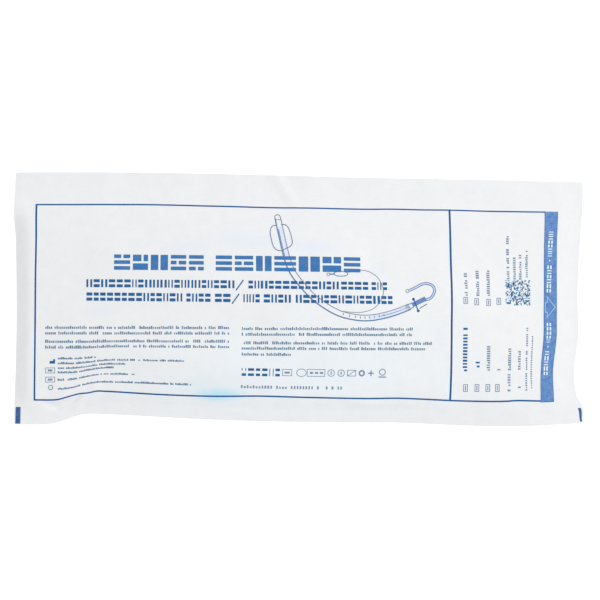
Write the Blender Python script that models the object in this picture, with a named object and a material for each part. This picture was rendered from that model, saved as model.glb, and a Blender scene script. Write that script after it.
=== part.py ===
"""Sealed sterile peel pouch with a breathing tube kit inside, lying on its back.

The printed paper web faces up and the film web lies on the table. Both webs are sealed to
each other all round, and past the seal of the peel end they are left open as two lips.
The pouch can't be seen into, so it is one solid. Metres, +X towards the peel end, +Z up.
"""
import math

import bmesh
import bpy

# The flat webs, before the kit draws them in
LENGTH = 0.4005
WIDTH = 0.1719
WEB = 0.00015
SIDE_SEAL = 0.008
CLOSED_SEAL = 0.008
PEEL_SEAL = 0.010
PEEL_LIP = 0.0205
CORNER = 0.0012

# How the pouch stands off the table, along its border and at its corners
BORDER_LEVEL = 0.0058
CORNER_LEVEL = 0.0004
PEEL_LEVEL = 0.0062
LIP_LEVEL = 0.0016
LIP_GAP = 0.0018
RIPPLE = 0.00025
RIPPLE_LENGTH = 0.047

# How far the border droops to its outer edge: a share of its level on two sides
CLOSED_DROOP = 0.97
CLOSED_DROOP_REACH = 0.0108
CLOSED_DROOP_AT = -0.009
CLOSED_DROOP_HALF = 0.057
CLOSED_DROOP_FADE = 0.014
BOTTOM_DROOP = 0.90
BOTTOM_DROOP_REACH = 0.022

# How far the paper climbs from each seal before it runs level over the kit
KIT_RISE = 0.0125
CLOSED_RAMP = 0.210
PEEL_RAMP = 0.175
TOP_RAMP = 0.100
BOTTOM_RAMP = 0.070
SEAL_EASE = 0.006
PRESSED_FROM = 0.34

# Ridges that the kit raises in the paper: two ends from the closed end and the middle line,
# then height and half width
SYRINGE = ((0.045, -0.039), (0.165, -0.056), 0.0040, 0.030)
TUBE_BEND = ((0.070, 0.021), (0.215, 0.033), 0.0028, 0.034)
TUBE_RUN = ((0.190, -0.029), (0.310, -0.004), 0.0030, 0.032)
CONNECTOR = ((0.300, 0.006), (0.345, 0.002), 0.0034, 0.028)

# Soft folds of both webs, written in the same way; a furrow has a height below zero
PINCH_FURROW = ((0.024, -0.0735), (0.044, -0.0705), -0.0012, 0.0042)
PINCH_FOLD = ((0.030, -0.0790), (0.047, -0.0725), 0.0009, 0.0040)
RIM_FOLD = ((0.052, -0.0760), (0.056, -0.0650), 0.0009, 0.0060)
CLOSED_END_FOLD = ((0.000, 0.066), (0.007, 0.064), 0.0006, 0.0050)
TOP_FOLD = ((0.178, 0.085), (0.190, 0.068), 0.0006, 0.0075)
PEEL_FOLD = ((0.352, -0.077), (0.385, -0.060), 0.0008, 0.0085)

# Where the outline is drawn in (or bulges out), seen from above
PINCH_PULL = 0.0052
PINCH_START = 0.0207
PINCH_FULL = 0.0492
PINCH_FADE = 0.089
PINCH_LEAN = 0.44
PULL_REACH = (0.0164, 0.0644)
RIM_PULL = 0.0021
RIM_LATE = 0.006
RIM_REACH = 0.0164
BULGE = 0.0028
BULGE_BACK = 0.059
BULGE_HALF = 0.084
TOP_BOW = 0.0011
TOP_BOW_AT = 0.096
TOP_BOW_HALF = 0.171
BOW_REACH = 0.045
END_PULL = 0.0050
END_DIP = 0.0063
END_DIP_AT = -0.057
END_DIP_HALF = 0.0375
END_REACH = 0.060
CLOSED_PULL = 0.0017
CLOSED_PULL_AT = -0.021
CLOSED_PULL_HALF = 0.095
CLOSED_REACH = 0.030
CLOSED_BUMP = 0.0007
CLOSED_BUMP_AT = 0.056
CLOSED_BUMP_HALF = 0.018
EAR = 0.0023
EAR_AT = -0.0753
EAR_HALF = 0.0090
EAR_REACH = 0.014

# Grid cells: closed seal, pinched stretch, middle, peel seal and lip; then across
PINCHED_STRETCH = 0.060
EDGE_STRIP = 0.035
CELLS_ALONG = (3, 15, 36, 2, 4)
CELLS_ACROSS = (3, 9, 12, 7, 2)

PAPER_COLOUR = (0.84, 0.86, 0.88, 1.0)
PAPER_ROUGHNESS = 0.72

CLOSED_END = -LENGTH / 2
LIP_ROOT = LENGTH / 2 - PEEL_LIP
PEEL_SEAL_START = LIP_ROOT - PEEL_SEAL


def clear_scene():
    for obj in list(bpy.data.objects):
        bpy.data.objects.remove(obj, do_unlink=True)


def ease(t):
    """Smooth step from 0 to 1."""
    t = min(max(t, 0.0), 1.0)
    return t * t * (3 - 2 * t)


def climb(distance, reach):
    """Web leaving a seal line in a soft bend, climbing, and running level after its reach."""
    gone = max(distance, 0.0)
    t = min(gone * gone / (gone + SEAL_EASE) / reach, 1.0)
    return 1 - (1 - t) ** 2


def settle(distance, reach):
    """Web rising from its outer edge at an even slope, then rounding off level at its reach."""
    t = min(max(distance / reach, 0.0), 1.0)
    return t / 0.75 if t < 0.5 else 1 - (1 - t) ** 2 / 0.75


def hump(s, centre, half):
    """Rounded bump of height 1 that ends half a width to each side."""
    t = (s - centre) / half
    return (1 - t * t) ** 2 if abs(t) < 1 else 0.0


def ridge(u, v, shape):
    """Rounded ridge along a straight line, tapering off past both ends."""
    (along_0, v_0), (along_1, v_1), height, half = shape
    run_u = along_1 - along_0
    run_v = v_1 - v_0
    off_u = u - CLOSED_END - along_0
    off_v = v - v_0
    t = (off_u * run_u + off_v * run_v) / (run_u ** 2 + run_v ** 2)
    t = min(max(t, 0.0), 1.0)
    return height * hump(math.hypot(off_u - t * run_u, off_v - t * run_v), 0, half)


def chamber(u, v):
    """0 on the seals, 1 where the webs run level over the kit."""
    return (climb(u - CLOSED_END - CLOSED_SEAL, CLOSED_RAMP)
            * climb(PEEL_SEAL_START - u, PEEL_RAMP)
            * climb(WIDTH / 2 - SIDE_SEAL - v, TOP_RAMP)
            * climb(v + WIDTH / 2 - SIDE_SEAL, BOTTOM_RAMP))


def folds(u, v):
    shapes = (PINCH_FURROW, PINCH_FOLD, RIM_FOLD, CLOSED_END_FOLD, TOP_FOLD, PEEL_FOLD)
    return sum(ridge(u, v, shape) for shape in shapes)


def ripple(u, v):
    """Gentle waves of the long borders, out of step with each other."""
    turn = 2 * math.pi * (u - CLOSED_END) / RIPPLE_LENGTH
    wave = math.sin(turn) + 0.6 * math.sin(1.63 * turn + math.copysign(1.3, v))
    return RIPPLE * wave * ease((abs(v) - WIDTH / 2 + EDGE_STRIP) / EDGE_STRIP)


def border_level(u, v):
    """Height of the seam between the webs, lowest at the corners and outer edges."""
    along = abs(u) / (LENGTH / 2)
    across = abs(v) / (WIDTH / 2)
    peel_share = ease((u - LIP_ROOT + END_REACH) / END_REACH)
    middle = BORDER_LEVEL + (PEEL_LEVEL - BORDER_LEVEL) * peel_share
    edge = middle + (LIP_LEVEL - middle) * ease((u - LIP_ROOT) / PEEL_LIP)
    by_corner = ease((abs(v - CLOSED_DROOP_AT) - CLOSED_DROOP_HALF) / CLOSED_DROOP_FADE)
    closed = CLOSED_DROOP * (1 - by_corner) * (1 - settle(u - CLOSED_END, CLOSED_DROOP_REACH))
    bottom = BOTTOM_DROOP * (1 - peel_share) * (1 - settle(v + WIDTH / 2, BOTTOM_DROOP_REACH))
    held = (1 - (along * across) ** 4) * (1 - closed) * (1 - bottom)
    return CORNER_LEVEL + (edge - CORNER_LEVEL) * held


def heights(u, v):
    """Outer faces of the film and the paper web over a point of the flat pouch."""
    fullness = chamber(u, v)
    kit = sum(ridge(u, v, shape) for shape in (SYRINGE, TUBE_BEND, TUBE_RUN, CONNECTOR))
    seam = border_level(u, v)
    seam += (folds(u, v) + ripple(u, v)) * min(seam / BORDER_LEVEL, 1.0)
    held_up = 1 - ease(fullness / PRESSED_FROM)
    film = (seam - WEB) * held_up
    paper = seam + WEB + (KIT_RISE + kit) * fullness
    return film, paper


def pinch_pull(u, from_bottom):
    """How far the bottom side is drawn in beside the flat closed-end corner.

    One pull reaches far into the print. The other starts later and is the rim's own.
    """
    start = CLOSED_END + PINCH_START
    full = CLOSED_END + PINCH_FULL
    leaned = u - PINCH_LEAN * from_bottom
    rise = ease((leaned - start) / (full - start))
    late_rise = ease((leaned - start - RIM_LATE) / (full - start))
    fade = math.exp(-(max(leaned - full, 0.0) / PINCH_FADE) ** 1.5)
    far_in = ease((from_bottom - PULL_REACH[0]) / (PULL_REACH[1] - PULL_REACH[0]))
    rim = 1 - ease(from_bottom / RIM_REACH)
    return fade * (PINCH_PULL * rise * (1 - far_in) + RIM_PULL * late_rise * rim)


def plan(u, v):
    """Where a point of the flat pouch lies, seen from above."""
    from_bottom = v + WIDTH / 2
    from_top = WIDTH / 2 - v
    pull = pinch_pull(u, from_bottom)
    bulge = BULGE * hump(u, LENGTH / 2 - BULGE_BACK, BULGE_HALF) * (1 - ease(from_bottom / BOW_REACH))
    bow = TOP_BOW * hump(u - CLOSED_END, TOP_BOW_AT, TOP_BOW_HALF) * (1 - ease(from_top / BOW_REACH))
    end = END_PULL * hump(v, 0, WIDTH / 2) + END_DIP * hump(v, END_DIP_AT, END_DIP_HALF)
    end *= ease((u - LENGTH / 2 + END_REACH) / END_REACH)
    closed = CLOSED_PULL * hump(v, CLOSED_PULL_AT, CLOSED_PULL_HALF)
    closed -= CLOSED_BUMP * hump(v, CLOSED_BUMP_AT, CLOSED_BUMP_HALF)
    closed *= 1 - ease((u - CLOSED_END) / CLOSED_REACH)
    ear = EAR * hump(v, EAR_AT, EAR_HALF) * ease((u - LENGTH / 2 + EAR_REACH) / EAR_REACH)
    return u - end + closed + ear, v + pull - bulge + bow


def rounded_corner(u, v):
    """Take a point of the square flat outline in, so that the corners are rounded."""
    over_u = abs(u) - LENGTH / 2 + CORNER
    over_v = abs(v) - WIDTH / 2 + CORNER
    if over_u <= 0 or over_v <= 0:
        return u, v
    shrink = max(over_u, over_v) / math.hypot(over_u, over_v)
    new_u = math.copysign(abs(u) - over_u * (1 - shrink), u)
    new_v = math.copysign(abs(v) - over_v * (1 - shrink), v)
    return new_u, new_v


def stops(start, runs):
    """Grid lines along one direction; each run is an end and its number of cells."""
    lines = [start]
    for end, cells in runs:
        first = lines[-1]
        lines += [first + (end - first) * (i + 1) / cells for i in range(cells)]
    return lines


def grid_lines():
    along_ends = (CLOSED_END + CLOSED_SEAL, CLOSED_END + CLOSED_SEAL + PINCHED_STRETCH,
                  PEEL_SEAL_START, LIP_ROOT, LENGTH / 2)
    across_ends = (-WIDTH / 2 + SIDE_SEAL, -WIDTH / 2 + SIDE_SEAL + EDGE_STRIP,
                   WIDTH / 2 - SIDE_SEAL - EDGE_STRIP, WIDTH / 2 - SIDE_SEAL, WIDTH / 2)
    along = stops(CLOSED_END, zip(along_ends, CELLS_ALONG))
    across = stops(-WIDTH / 2, zip(across_ends, CELLS_ACROSS))
    return along, across


def section(v, along):
    """Closed loop round the pouch at one place across it.

    It runs over the paper to the peel end, back along the paper lip's inner face to the root
    of the lips, out along the film lip's inner face, and back under the film.
    """
    paper = []
    film = []
    paper_lip = []
    film_lip = []
    for u in along:
        flat_u, flat_v = rounded_corner(u, v)
        x, y = plan(flat_u, flat_v)
        low, high = heights(flat_u, flat_v)
        lift = LIP_GAP * ease((u - LIP_ROOT) / PEEL_LIP)
        paper.append((x, y, high + lift))
        film.append((x, y, low))
        if u > LIP_ROOT:
            paper_lip.append((x, y, high - WEB + lift))
            film_lip.append((x, y, low + WEB))
        elif u == LIP_ROOT:
            root = (x, y, (low + high) / 2)
    return paper + paper_lip[::-1] + [root] + film_lip + film[::-1]


def skin(bm, loops):
    """Bridge each loop to the next one."""
    for ring, following in zip(loops, loops[1:]):
        count = len(ring)
        for i in range(count):
            j = (i + 1) % count
            bm.faces.new((ring[i], ring[j], following[j], following[i]))


def close_side(bm, loop, columns, lip_cells):
    """Fill the thin long edge of the pouch, with the slit between the lips left open."""
    count = len(loop)
    root_column = columns - 1 - lip_cells
    root = columns + lip_cells
    for i in range(root_column):
        corners = [loop[i], loop[i + 1], loop[count - 2 - i], loop[count - 1 - i]]
        if i + 1 == root_column:
            corners.insert(2, loop[root])
        bm.faces.new(corners)
    for k in range(lip_cells):
        paper_out = columns - 1 - k
        paper_in = columns + k
        film_in = root + lip_cells - k
        film_out = root + lip_cells + 1 + k
        bm.faces.new((loop[paper_out], loop[paper_in], loop[paper_in + 1], loop[paper_out - 1]))
        bm.faces.new((loop[film_in], loop[film_out], loop[film_out + 1], loop[film_in - 1]))


def centre_on_table(bm):
    """Put the origin under the middle of the pouch."""
    xs = [vert.co.x for vert in bm.verts]
    ys = [vert.co.y for vert in bm.verts]
    shift = ((min(xs) + max(xs)) / -2, (min(ys) + max(ys)) / -2, 0)
    bmesh.ops.translate(bm, verts=bm.verts, vec=shift)


def merge_flat_base(bm):
    """Make one face of the part of the film that lies flat on the table."""
    flat = [face for face in bm.faces if all(vert.co.z == 0 for vert in face.verts)]
    bmesh.ops.dissolve_faces(bm, faces=flat, use_verts=False)


def paper_material():
    material = bpy.data.materials.new("medical_paper")
    material.use_nodes = True
    shader = material.node_tree.nodes["Principled BSDF"]
    shader.inputs["Base Color"].default_value = PAPER_COLOUR
    shader.inputs["Roughness"].default_value = PAPER_ROUGHNESS
    shader.inputs["Metallic"].default_value = 0.0
    material.diffuse_color = PAPER_COLOUR
    return material


def make_pouch():
    along, across = grid_lines()
    bm = bmesh.new()
    loops = [[bm.verts.new(point) for point in section(v, along)] for v in across]
    skin(bm, loops)
    for loop in (loops[0], loops[-1]):
        close_side(bm, loop, len(along), CELLS_ALONG[-1])
    bmesh.ops.recalc_face_normals(bm, faces=bm.faces)
    centre_on_table(bm)
    merge_flat_base(bm)
    mesh = bpy.data.meshes.new("peel_pouch")
    bm.to_mesh(mesh)
    bm.free()
    mesh.materials.append(paper_material())
    mesh.shade_smooth()
    mesh.set_sharp_from_angle(angle=math.radians(50))
    pouch = bpy.data.objects.new("peel_pouch", mesh)
    bpy.context.scene.collection.objects.link(pouch)
    return pouch


clear_scene()
make_pouch()
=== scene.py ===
"""Looks of the sealed sterile peel pouch: its paper and film webs, and the print on the paper.

Metres, +X towards the peel end, +Z up. A point of the flat pouch is (u, v): u runs along it and
v across it, both from its middle. Print is set out on the flat pouch and then laid on the paper.
"""
import math
import random

import bmesh
import bpy
import numpy as np
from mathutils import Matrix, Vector


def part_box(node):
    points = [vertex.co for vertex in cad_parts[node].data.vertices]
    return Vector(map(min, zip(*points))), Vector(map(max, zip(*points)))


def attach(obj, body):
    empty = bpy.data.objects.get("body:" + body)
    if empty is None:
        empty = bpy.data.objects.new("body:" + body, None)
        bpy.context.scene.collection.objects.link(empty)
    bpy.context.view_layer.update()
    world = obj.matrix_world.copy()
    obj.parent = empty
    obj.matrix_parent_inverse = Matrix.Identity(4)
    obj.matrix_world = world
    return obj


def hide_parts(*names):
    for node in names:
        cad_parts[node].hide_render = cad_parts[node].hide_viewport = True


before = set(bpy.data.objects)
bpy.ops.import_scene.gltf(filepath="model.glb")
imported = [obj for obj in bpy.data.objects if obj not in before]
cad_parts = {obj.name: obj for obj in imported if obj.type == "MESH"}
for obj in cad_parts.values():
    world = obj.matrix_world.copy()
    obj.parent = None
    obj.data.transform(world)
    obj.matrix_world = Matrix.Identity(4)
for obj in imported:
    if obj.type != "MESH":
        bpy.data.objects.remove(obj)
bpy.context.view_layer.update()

MM = 0.001

# The flat webs
LENGTH = 0.4005
WIDTH = 0.1719
WEB = 0.00015
SIDE_SEAL = 0.008
CLOSED_SEAL = 0.008
PEEL_SEAL = 0.010
PEEL_LIP = 0.0205
CORNER = 0.0012

# How the pouch stands off the table, along its border and at its corners
BORDER_LEVEL = 0.0058
CORNER_LEVEL = 0.0004
PEEL_LEVEL = 0.0062
LIP_LEVEL = 0.0016
LIP_GAP = 0.0018
RIPPLE = 0.00025
RIPPLE_LENGTH = 0.047

# How far the border droops to its outer edge: a share of its level on two sides
CLOSED_DROOP = 0.97
CLOSED_DROOP_REACH = 0.0108
CLOSED_DROOP_AT = -0.009
CLOSED_DROOP_HALF = 0.057
CLOSED_DROOP_FADE = 0.014
BOTTOM_DROOP = 0.90
BOTTOM_DROOP_REACH = 0.022

KIT_RISE = 0.0125
CLOSED_RAMP = 0.210
PEEL_RAMP = 0.175
TOP_RAMP = 0.100
BOTTOM_RAMP = 0.070
SEAL_EASE = 0.006
PRESSED_FROM = 0.34

KIT_RIDGES = (
    ((0.045, -0.039), (0.165, -0.056), 0.0040, 0.030),
    ((0.070, 0.021), (0.215, 0.033), 0.0028, 0.034),
    ((0.190, -0.029), (0.310, -0.004), 0.0030, 0.032),
    ((0.300, 0.006), (0.345, 0.002), 0.0034, 0.028),
)
FOLDS = (
    ((0.024, -0.0735), (0.044, -0.0705), -0.0012, 0.0042),
    ((0.030, -0.0790), (0.047, -0.0725), 0.0009, 0.0040),
    ((0.052, -0.0760), (0.056, -0.0650), 0.0009, 0.0060),
    ((0.000, 0.066), (0.007, 0.064), 0.0006, 0.0050),
    ((0.178, 0.085), (0.190, 0.068), 0.0006, 0.0075),
    ((0.352, -0.077), (0.385, -0.060), 0.0008, 0.0085),
)
# More creases of the borders, which the solid doesn't have, given in the same way
FINE_CREASES = (
    ((0.0425, -0.0845), (0.0452, -0.0742), 0.0009, 0.0042),
    ((0.0200, -0.0700), (0.0300, -0.0752), -0.0008, 0.0027),
    ((0.0300, -0.0752), (0.0415, -0.0728), -0.0008, 0.0027),
    ((0.234, -0.0725), (0.281, -0.0730), 0.0003, 0.0028),
    ((0.227, -0.0780), (0.262, -0.0775), -0.0003, 0.0026),
    ((0.180, 0.084), (0.188, 0.070), 0.0004, 0.0050),
)

# Where the outline is drawn in or bulges out, seen from above
PINCH_PULL = 0.0052
PINCH_START = 0.0207
PINCH_FULL = 0.0492
PINCH_FADE = 0.089
PINCH_LEAN = 0.44
PULL_REACH = (0.0164, 0.0644)
RIM_PULL = 0.0021
RIM_LATE = 0.006
RIM_REACH = 0.0164
BULGE = 0.0028
BULGE_BACK = 0.059
BULGE_HALF = 0.084
TOP_BOW = 0.0011
TOP_BOW_AT = 0.096
TOP_BOW_HALF = 0.171
BOW_REACH = 0.045
END_PULL = 0.0050
END_DIP = 0.0063
END_DIP_AT = -0.057
END_DIP_HALF = 0.0375
END_REACH = 0.060
CLOSED_PULL = 0.0017
CLOSED_PULL_AT = -0.021
CLOSED_PULL_HALF = 0.095
CLOSED_REACH = 0.030
CLOSED_BUMP = 0.0007
CLOSED_BUMP_AT = 0.056
CLOSED_BUMP_HALF = 0.018
EAR = 0.0023
EAR_AT = -0.0753
EAR_HALF = 0.0090
EAR_REACH = 0.014

# Grid cells of the fine webs: closed seal, pinched stretch, middle, peel seal and lip; then across
PINCHED_STRETCH = 0.060
EDGE_STRIP = 0.035
CELLS_ALONG = (7, 54, 214, 8, 16)
CELLS_ACROSS = (7, 30, 70, 30, 7)

CLOSED_END = -LENGTH / 2
LIP_ROOT = LENGTH / 2 - PEEL_LIP
PEEL_SEAL_START = LIP_ROOT - PEEL_SEAL


# Form of the webs, for whole arrays of (u, v)

def ease(t):
    """Smooth step from 0 to 1."""
    t = np.clip(t, 0.0, 1.0)
    return t * t * (3 - 2 * t)


def climb(distance, reach):
    """Web leaving a seal line in a soft bend, climbing, and running level after its reach."""
    gone = np.maximum(distance, 0.0)
    t = np.minimum(gone * gone / (gone + SEAL_EASE) / reach, 1.0)
    return 1 - (1 - t) ** 2


def settle(distance, reach):
    """Web rising from its outer edge at an even slope, then rounding off level at its reach."""
    t = np.clip(distance / reach, 0.0, 1.0)
    return np.where(t < 0.5, t / 0.75, 1 - (1 - t) ** 2 / 0.75)


def hump(s, centre, half):
    """Rounded bump of height 1 that ends half a width to each side."""
    t = np.clip((s - centre) / half, -1.0, 1.0)
    return (1 - t * t) ** 2


def ridge(u, v, shape):
    """Rounded ridge along a straight line, tapering off past both ends."""
    (along_0, v_0), (along_1, v_1), height, half = shape
    run_u = along_1 - along_0
    run_v = v_1 - v_0
    off_u = u - CLOSED_END - along_0
    off_v = v - v_0
    t = np.clip((off_u * run_u + off_v * run_v) / (run_u ** 2 + run_v ** 2), 0.0, 1.0)
    return height * hump(np.hypot(off_u - t * run_u, off_v - t * run_v), 0, half)


def chamber(u, v):
    return (climb(u - CLOSED_END - CLOSED_SEAL, CLOSED_RAMP)
            * climb(PEEL_SEAL_START - u, PEEL_RAMP)
            * climb(WIDTH / 2 - SIDE_SEAL - v, TOP_RAMP)
            * climb(v + WIDTH / 2 - SIDE_SEAL, BOTTOM_RAMP))


def ripple(u, v):
    """Gentle waves of the long borders, out of step with each other."""
    turn = 2 * math.pi * (u - CLOSED_END) / RIPPLE_LENGTH
    wave = np.sin(turn) + 0.6 * np.sin(1.63 * turn + np.copysign(1.3, v))
    return RIPPLE * wave * ease((np.abs(v) - WIDTH / 2 + EDGE_STRIP) / EDGE_STRIP)


def border_level(u, v):
    """Height of the seam between the webs, lowest at the corners and outer edges."""
    along = np.abs(u) / (LENGTH / 2)
    across = np.abs(v) / (WIDTH / 2)
    peel_share = ease((u - LIP_ROOT + END_REACH) / END_REACH)
    middle = BORDER_LEVEL + (PEEL_LEVEL - BORDER_LEVEL) * peel_share
    edge = middle + (LIP_LEVEL - middle) * ease((u - LIP_ROOT) / PEEL_LIP)
    by_corner = ease((np.abs(v - CLOSED_DROOP_AT) - CLOSED_DROOP_HALF) / CLOSED_DROOP_FADE)
    closed = CLOSED_DROOP * (1 - by_corner) * (1 - settle(u - CLOSED_END, CLOSED_DROOP_REACH))
    bottom = BOTTOM_DROOP * (1 - peel_share) * (1 - settle(v + WIDTH / 2, BOTTOM_DROOP_REACH))
    held = (1 - (along * across) ** 4) * (1 - closed) * (1 - bottom)
    return CORNER_LEVEL + (edge - CORNER_LEVEL) * held


def heights(u, v):
    """Outer faces of the film and the paper web over points of the flat pouch."""
    fullness = chamber(u, v)
    kit = sum(ridge(u, v, shape) for shape in KIT_RIDGES)
    seam = border_level(u, v)
    folded = sum(ridge(u, v, shape) for shape in FOLDS + FINE_CREASES) + ripple(u, v)
    seam = seam + folded * np.minimum(seam / BORDER_LEVEL, 1.0)
    held_up = 1 - ease(fullness / PRESSED_FROM)
    film = (seam - WEB) * held_up
    paper = seam + WEB + (KIT_RISE + kit) * fullness
    return film, paper, held_up


def pinch_pull(u, from_bottom):
    """How far the bottom side is drawn in beside the flat closed-end corner."""
    start = CLOSED_END + PINCH_START
    full = CLOSED_END + PINCH_FULL
    leaned = u - PINCH_LEAN * from_bottom
    rise = ease((leaned - start) / (full - start))
    late_rise = ease((leaned - start - RIM_LATE) / (full - start))
    fade = np.exp(-(np.maximum(leaned - full, 0.0) / PINCH_FADE) ** 1.5)
    far_in = ease((from_bottom - PULL_REACH[0]) / (PULL_REACH[1] - PULL_REACH[0]))
    rim = 1 - ease(from_bottom / RIM_REACH)
    return fade * (PINCH_PULL * rise * (1 - far_in) + RIM_PULL * late_rise * rim)


def plan(u, v):
    """Where points of the flat pouch lie, seen from above."""
    from_bottom = v + WIDTH / 2
    from_top = WIDTH / 2 - v
    pull = pinch_pull(u, from_bottom)
    bulge = BULGE * hump(u, LENGTH / 2 - BULGE_BACK, BULGE_HALF) * (1 - ease(from_bottom / BOW_REACH))
    bow = TOP_BOW * hump(u - CLOSED_END, TOP_BOW_AT, TOP_BOW_HALF) * (1 - ease(from_top / BOW_REACH))
    end = END_PULL * hump(v, 0, WIDTH / 2) + END_DIP * hump(v, END_DIP_AT, END_DIP_HALF)
    end = end * ease((u - LENGTH / 2 + END_REACH) / END_REACH)
    closed = CLOSED_PULL * hump(v, CLOSED_PULL_AT, CLOSED_PULL_HALF)
    closed = closed - CLOSED_BUMP * hump(v, CLOSED_BUMP_AT, CLOSED_BUMP_HALF)
    closed = closed * (1 - ease((u - CLOSED_END) / CLOSED_REACH))
    ear = EAR * hump(v, EAR_AT, EAR_HALF) * ease((u - LENGTH / 2 + EAR_REACH) / EAR_REACH)
    return u - end + closed + ear, v + pull - bulge + bow


def rounded_corners(u, v):
    """Take the points of the square flat outline in, so that its corners are rounded."""
    over_u = np.maximum(np.abs(u) - LENGTH / 2 + CORNER, 0.0)
    over_v = np.maximum(np.abs(v) - WIDTH / 2 + CORNER, 0.0)
    far = np.maximum(np.hypot(over_u, over_v), 1e-9)
    shrink = np.where((over_u > 0) & (over_v > 0), np.maximum(over_u, over_v) / far, 1.0)
    return (np.copysign(np.abs(u) - over_u * (1 - shrink), u),
            np.copysign(np.abs(v) - over_v * (1 - shrink), v))


def stops(start, runs):
    """Grid lines along one direction; each run is an end and its number of cells."""
    lines = [start]
    for end, cells in runs:
        first = lines[-1]
        lines += [first + (end - first) * (i + 1) / cells for i in range(cells)]
    return np.array(lines)


ALONG = stops(CLOSED_END, zip((CLOSED_END + CLOSED_SEAL, CLOSED_END + CLOSED_SEAL + PINCHED_STRETCH,
                               PEEL_SEAL_START, LIP_ROOT, LENGTH / 2), CELLS_ALONG))
ACROSS = stops(-WIDTH / 2, zip((-WIDTH / 2 + SIDE_SEAL, -WIDTH / 2 + SIDE_SEAL + EDGE_STRIP,
                                WIDTH / 2 - SIDE_SEAL - EDGE_STRIP, WIDTH / 2 - SIDE_SEAL,
                                WIDTH / 2), CELLS_ACROSS))


# Node helpers

def feed(tree, socket, value):
    """Give a socket a plain value or the output of another node."""
    if isinstance(value, bpy.types.NodeSocket):
        tree.links.new(value, socket)
    else:
        socket.default_value = value


def put(tree, kind, inputs=None, **settings):
    """Add a node with its settings and what is fed to its inputs."""
    node = tree.nodes.new(kind)
    for name, value in settings.items():
        setattr(node, name, value)
    for name, value in (inputs or {}).items():
        feed(tree, node.inputs[name], value)
    return node


def made(tree, kind, inputs=None, **settings):
    """First output of a node added in the same way."""
    return put(tree, kind, inputs, **settings).outputs[0]


def calc(tree, operation, a, b):
    return made(tree, "ShaderNodeMath", {0: a, 1: b}, operation=operation)


def vector(tree, operation, a, b):
    return made(tree, "ShaderNodeVectorMath", {0: a, 1: b}, operation=operation)


def xyz(tree, x=0.0, y=0.0, z=0.0):
    return made(tree, "ShaderNodeCombineXYZ", {0: x, 1: y, 2: z})


def remapped(tree, value, low, high, to_low=0.0, to_high=1.0, **settings):
    """Value moved from one range to another, and kept inside it."""
    return made(tree, "ShaderNodeMapRange", {"Value": value, "From Min": low, "From Max": high,
                                             "To Min": to_low, "To Max": to_high}, **settings)


def noise(tree, where, scale, detail, roughness=0.5):
    return put(tree, "ShaderNodeTexNoise", {"Vector": where, "Scale": scale, "Detail": detail,
                                            "Roughness": roughness}).outputs


def object_place(tree):
    return put(tree, "ShaderNodeTexCoord").outputs["Object"]


def attribute(tree, name, kind):
    return made(tree, "GeometryNodeInputNamedAttribute", {"Name": name}, data_type=kind)


FLOAT, INTEGER, VECTOR = "NodeSocketFloat", "NodeSocketInt", "NodeSocketVector"
GEOMETRY, MATERIAL, OBJECT = "NodeSocketGeometry", "NodeSocketMaterial", "NodeSocketObject"
KIND_OF = {float: FLOAT, int: INTEGER}


def new_tree(name, kind, outs, **ins):
    """Node group; each input is written as its usual value, or as its kind where it has none.

    Returns the tree, what it is given and what it gives.
    """
    tree = bpy.data.node_groups.new(name, kind)
    for socket, value in ins.items():
        bare = isinstance(value, str)
        item = tree.interface.new_socket(socket.replace("_", " "), in_out="INPUT",
                                         socket_type=value if bare else KIND_OF[type(value)])
        if not bare:
            item.default_value = value
    for socket in outs:
        tree.interface.new_socket(socket, in_out="OUTPUT",
                                  socket_type=GEOMETRY if socket == "Geometry" else FLOAT)
    return tree, tree.nodes.new("NodeGroupInput").outputs, tree.nodes.new("NodeGroupOutput").inputs


def finished(tree, result, *values):
    """Tree with its outputs fed, in their order."""
    for socket, value in zip(result, values):
        feed(tree, socket, value)
    return tree


def use_tree(obj, tree, **values):
    """Put a Geometry Nodes tree on an object, its inputs set by the sockets' identifiers."""
    modifier = obj.modifiers.new(tree.name, "NODES")
    modifier.node_group = tree
    for item in tree.interface.items_tree:
        key = item.name.replace(" ", "_").lower()
        if item.in_out == "INPUT" and key in values:
            modifier[item.identifier] = values.pop(key)
    if values:
        raise ValueError(f"{tree.name} has no input {sorted(values)}")


def made_plain(obj):
    """Turn what the trees make of an object into its plain mesh, and take the trees off."""
    bpy.context.view_layer.update()
    ready = obj.evaluated_get(bpy.context.evaluated_depsgraph_get())
    mesh = bpy.data.meshes.new_from_object(ready)
    mesh.name = obj.name
    obj.modifiers.clear()
    obj.data = mesh
    return obj


def new_object(name, data):
    obj = bpy.data.objects.new(name, data)
    bpy.context.scene.collection.objects.link(obj)
    return obj


# Shader groups that several finishes share

def make_fibre_grain():
    """Fine mottling of pressed paper fibres, as a mask and as a height."""
    tree, given, result = new_tree(
        "fibre_grain", "ShaderNodeTree", ("Grain", "Clouds", "Height"),
        Fibre_Length=0.0009, Cloud_Size=0.006, Stretch=2.2)
    where = object_place(tree)
    drawn = vector(tree, "MULTIPLY", where, xyz(tree, 1.0, given["Stretch"], 1.0))
    grain = noise(tree, drawn, calc(tree, "DIVIDE", 1.0, given["Fibre Length"]), 3.0, 0.6)[0]
    clouds = noise(tree, where, calc(tree, "DIVIDE", 1.0, given["Cloud Size"]), 4.0, 0.62)[0]
    height = calc(tree, "ADD", calc(tree, "MULTIPLY", grain, 0.7), calc(tree, "MULTIPLY", clouds, 0.3))
    return finished(tree, result, grain, clouds, height)


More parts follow.
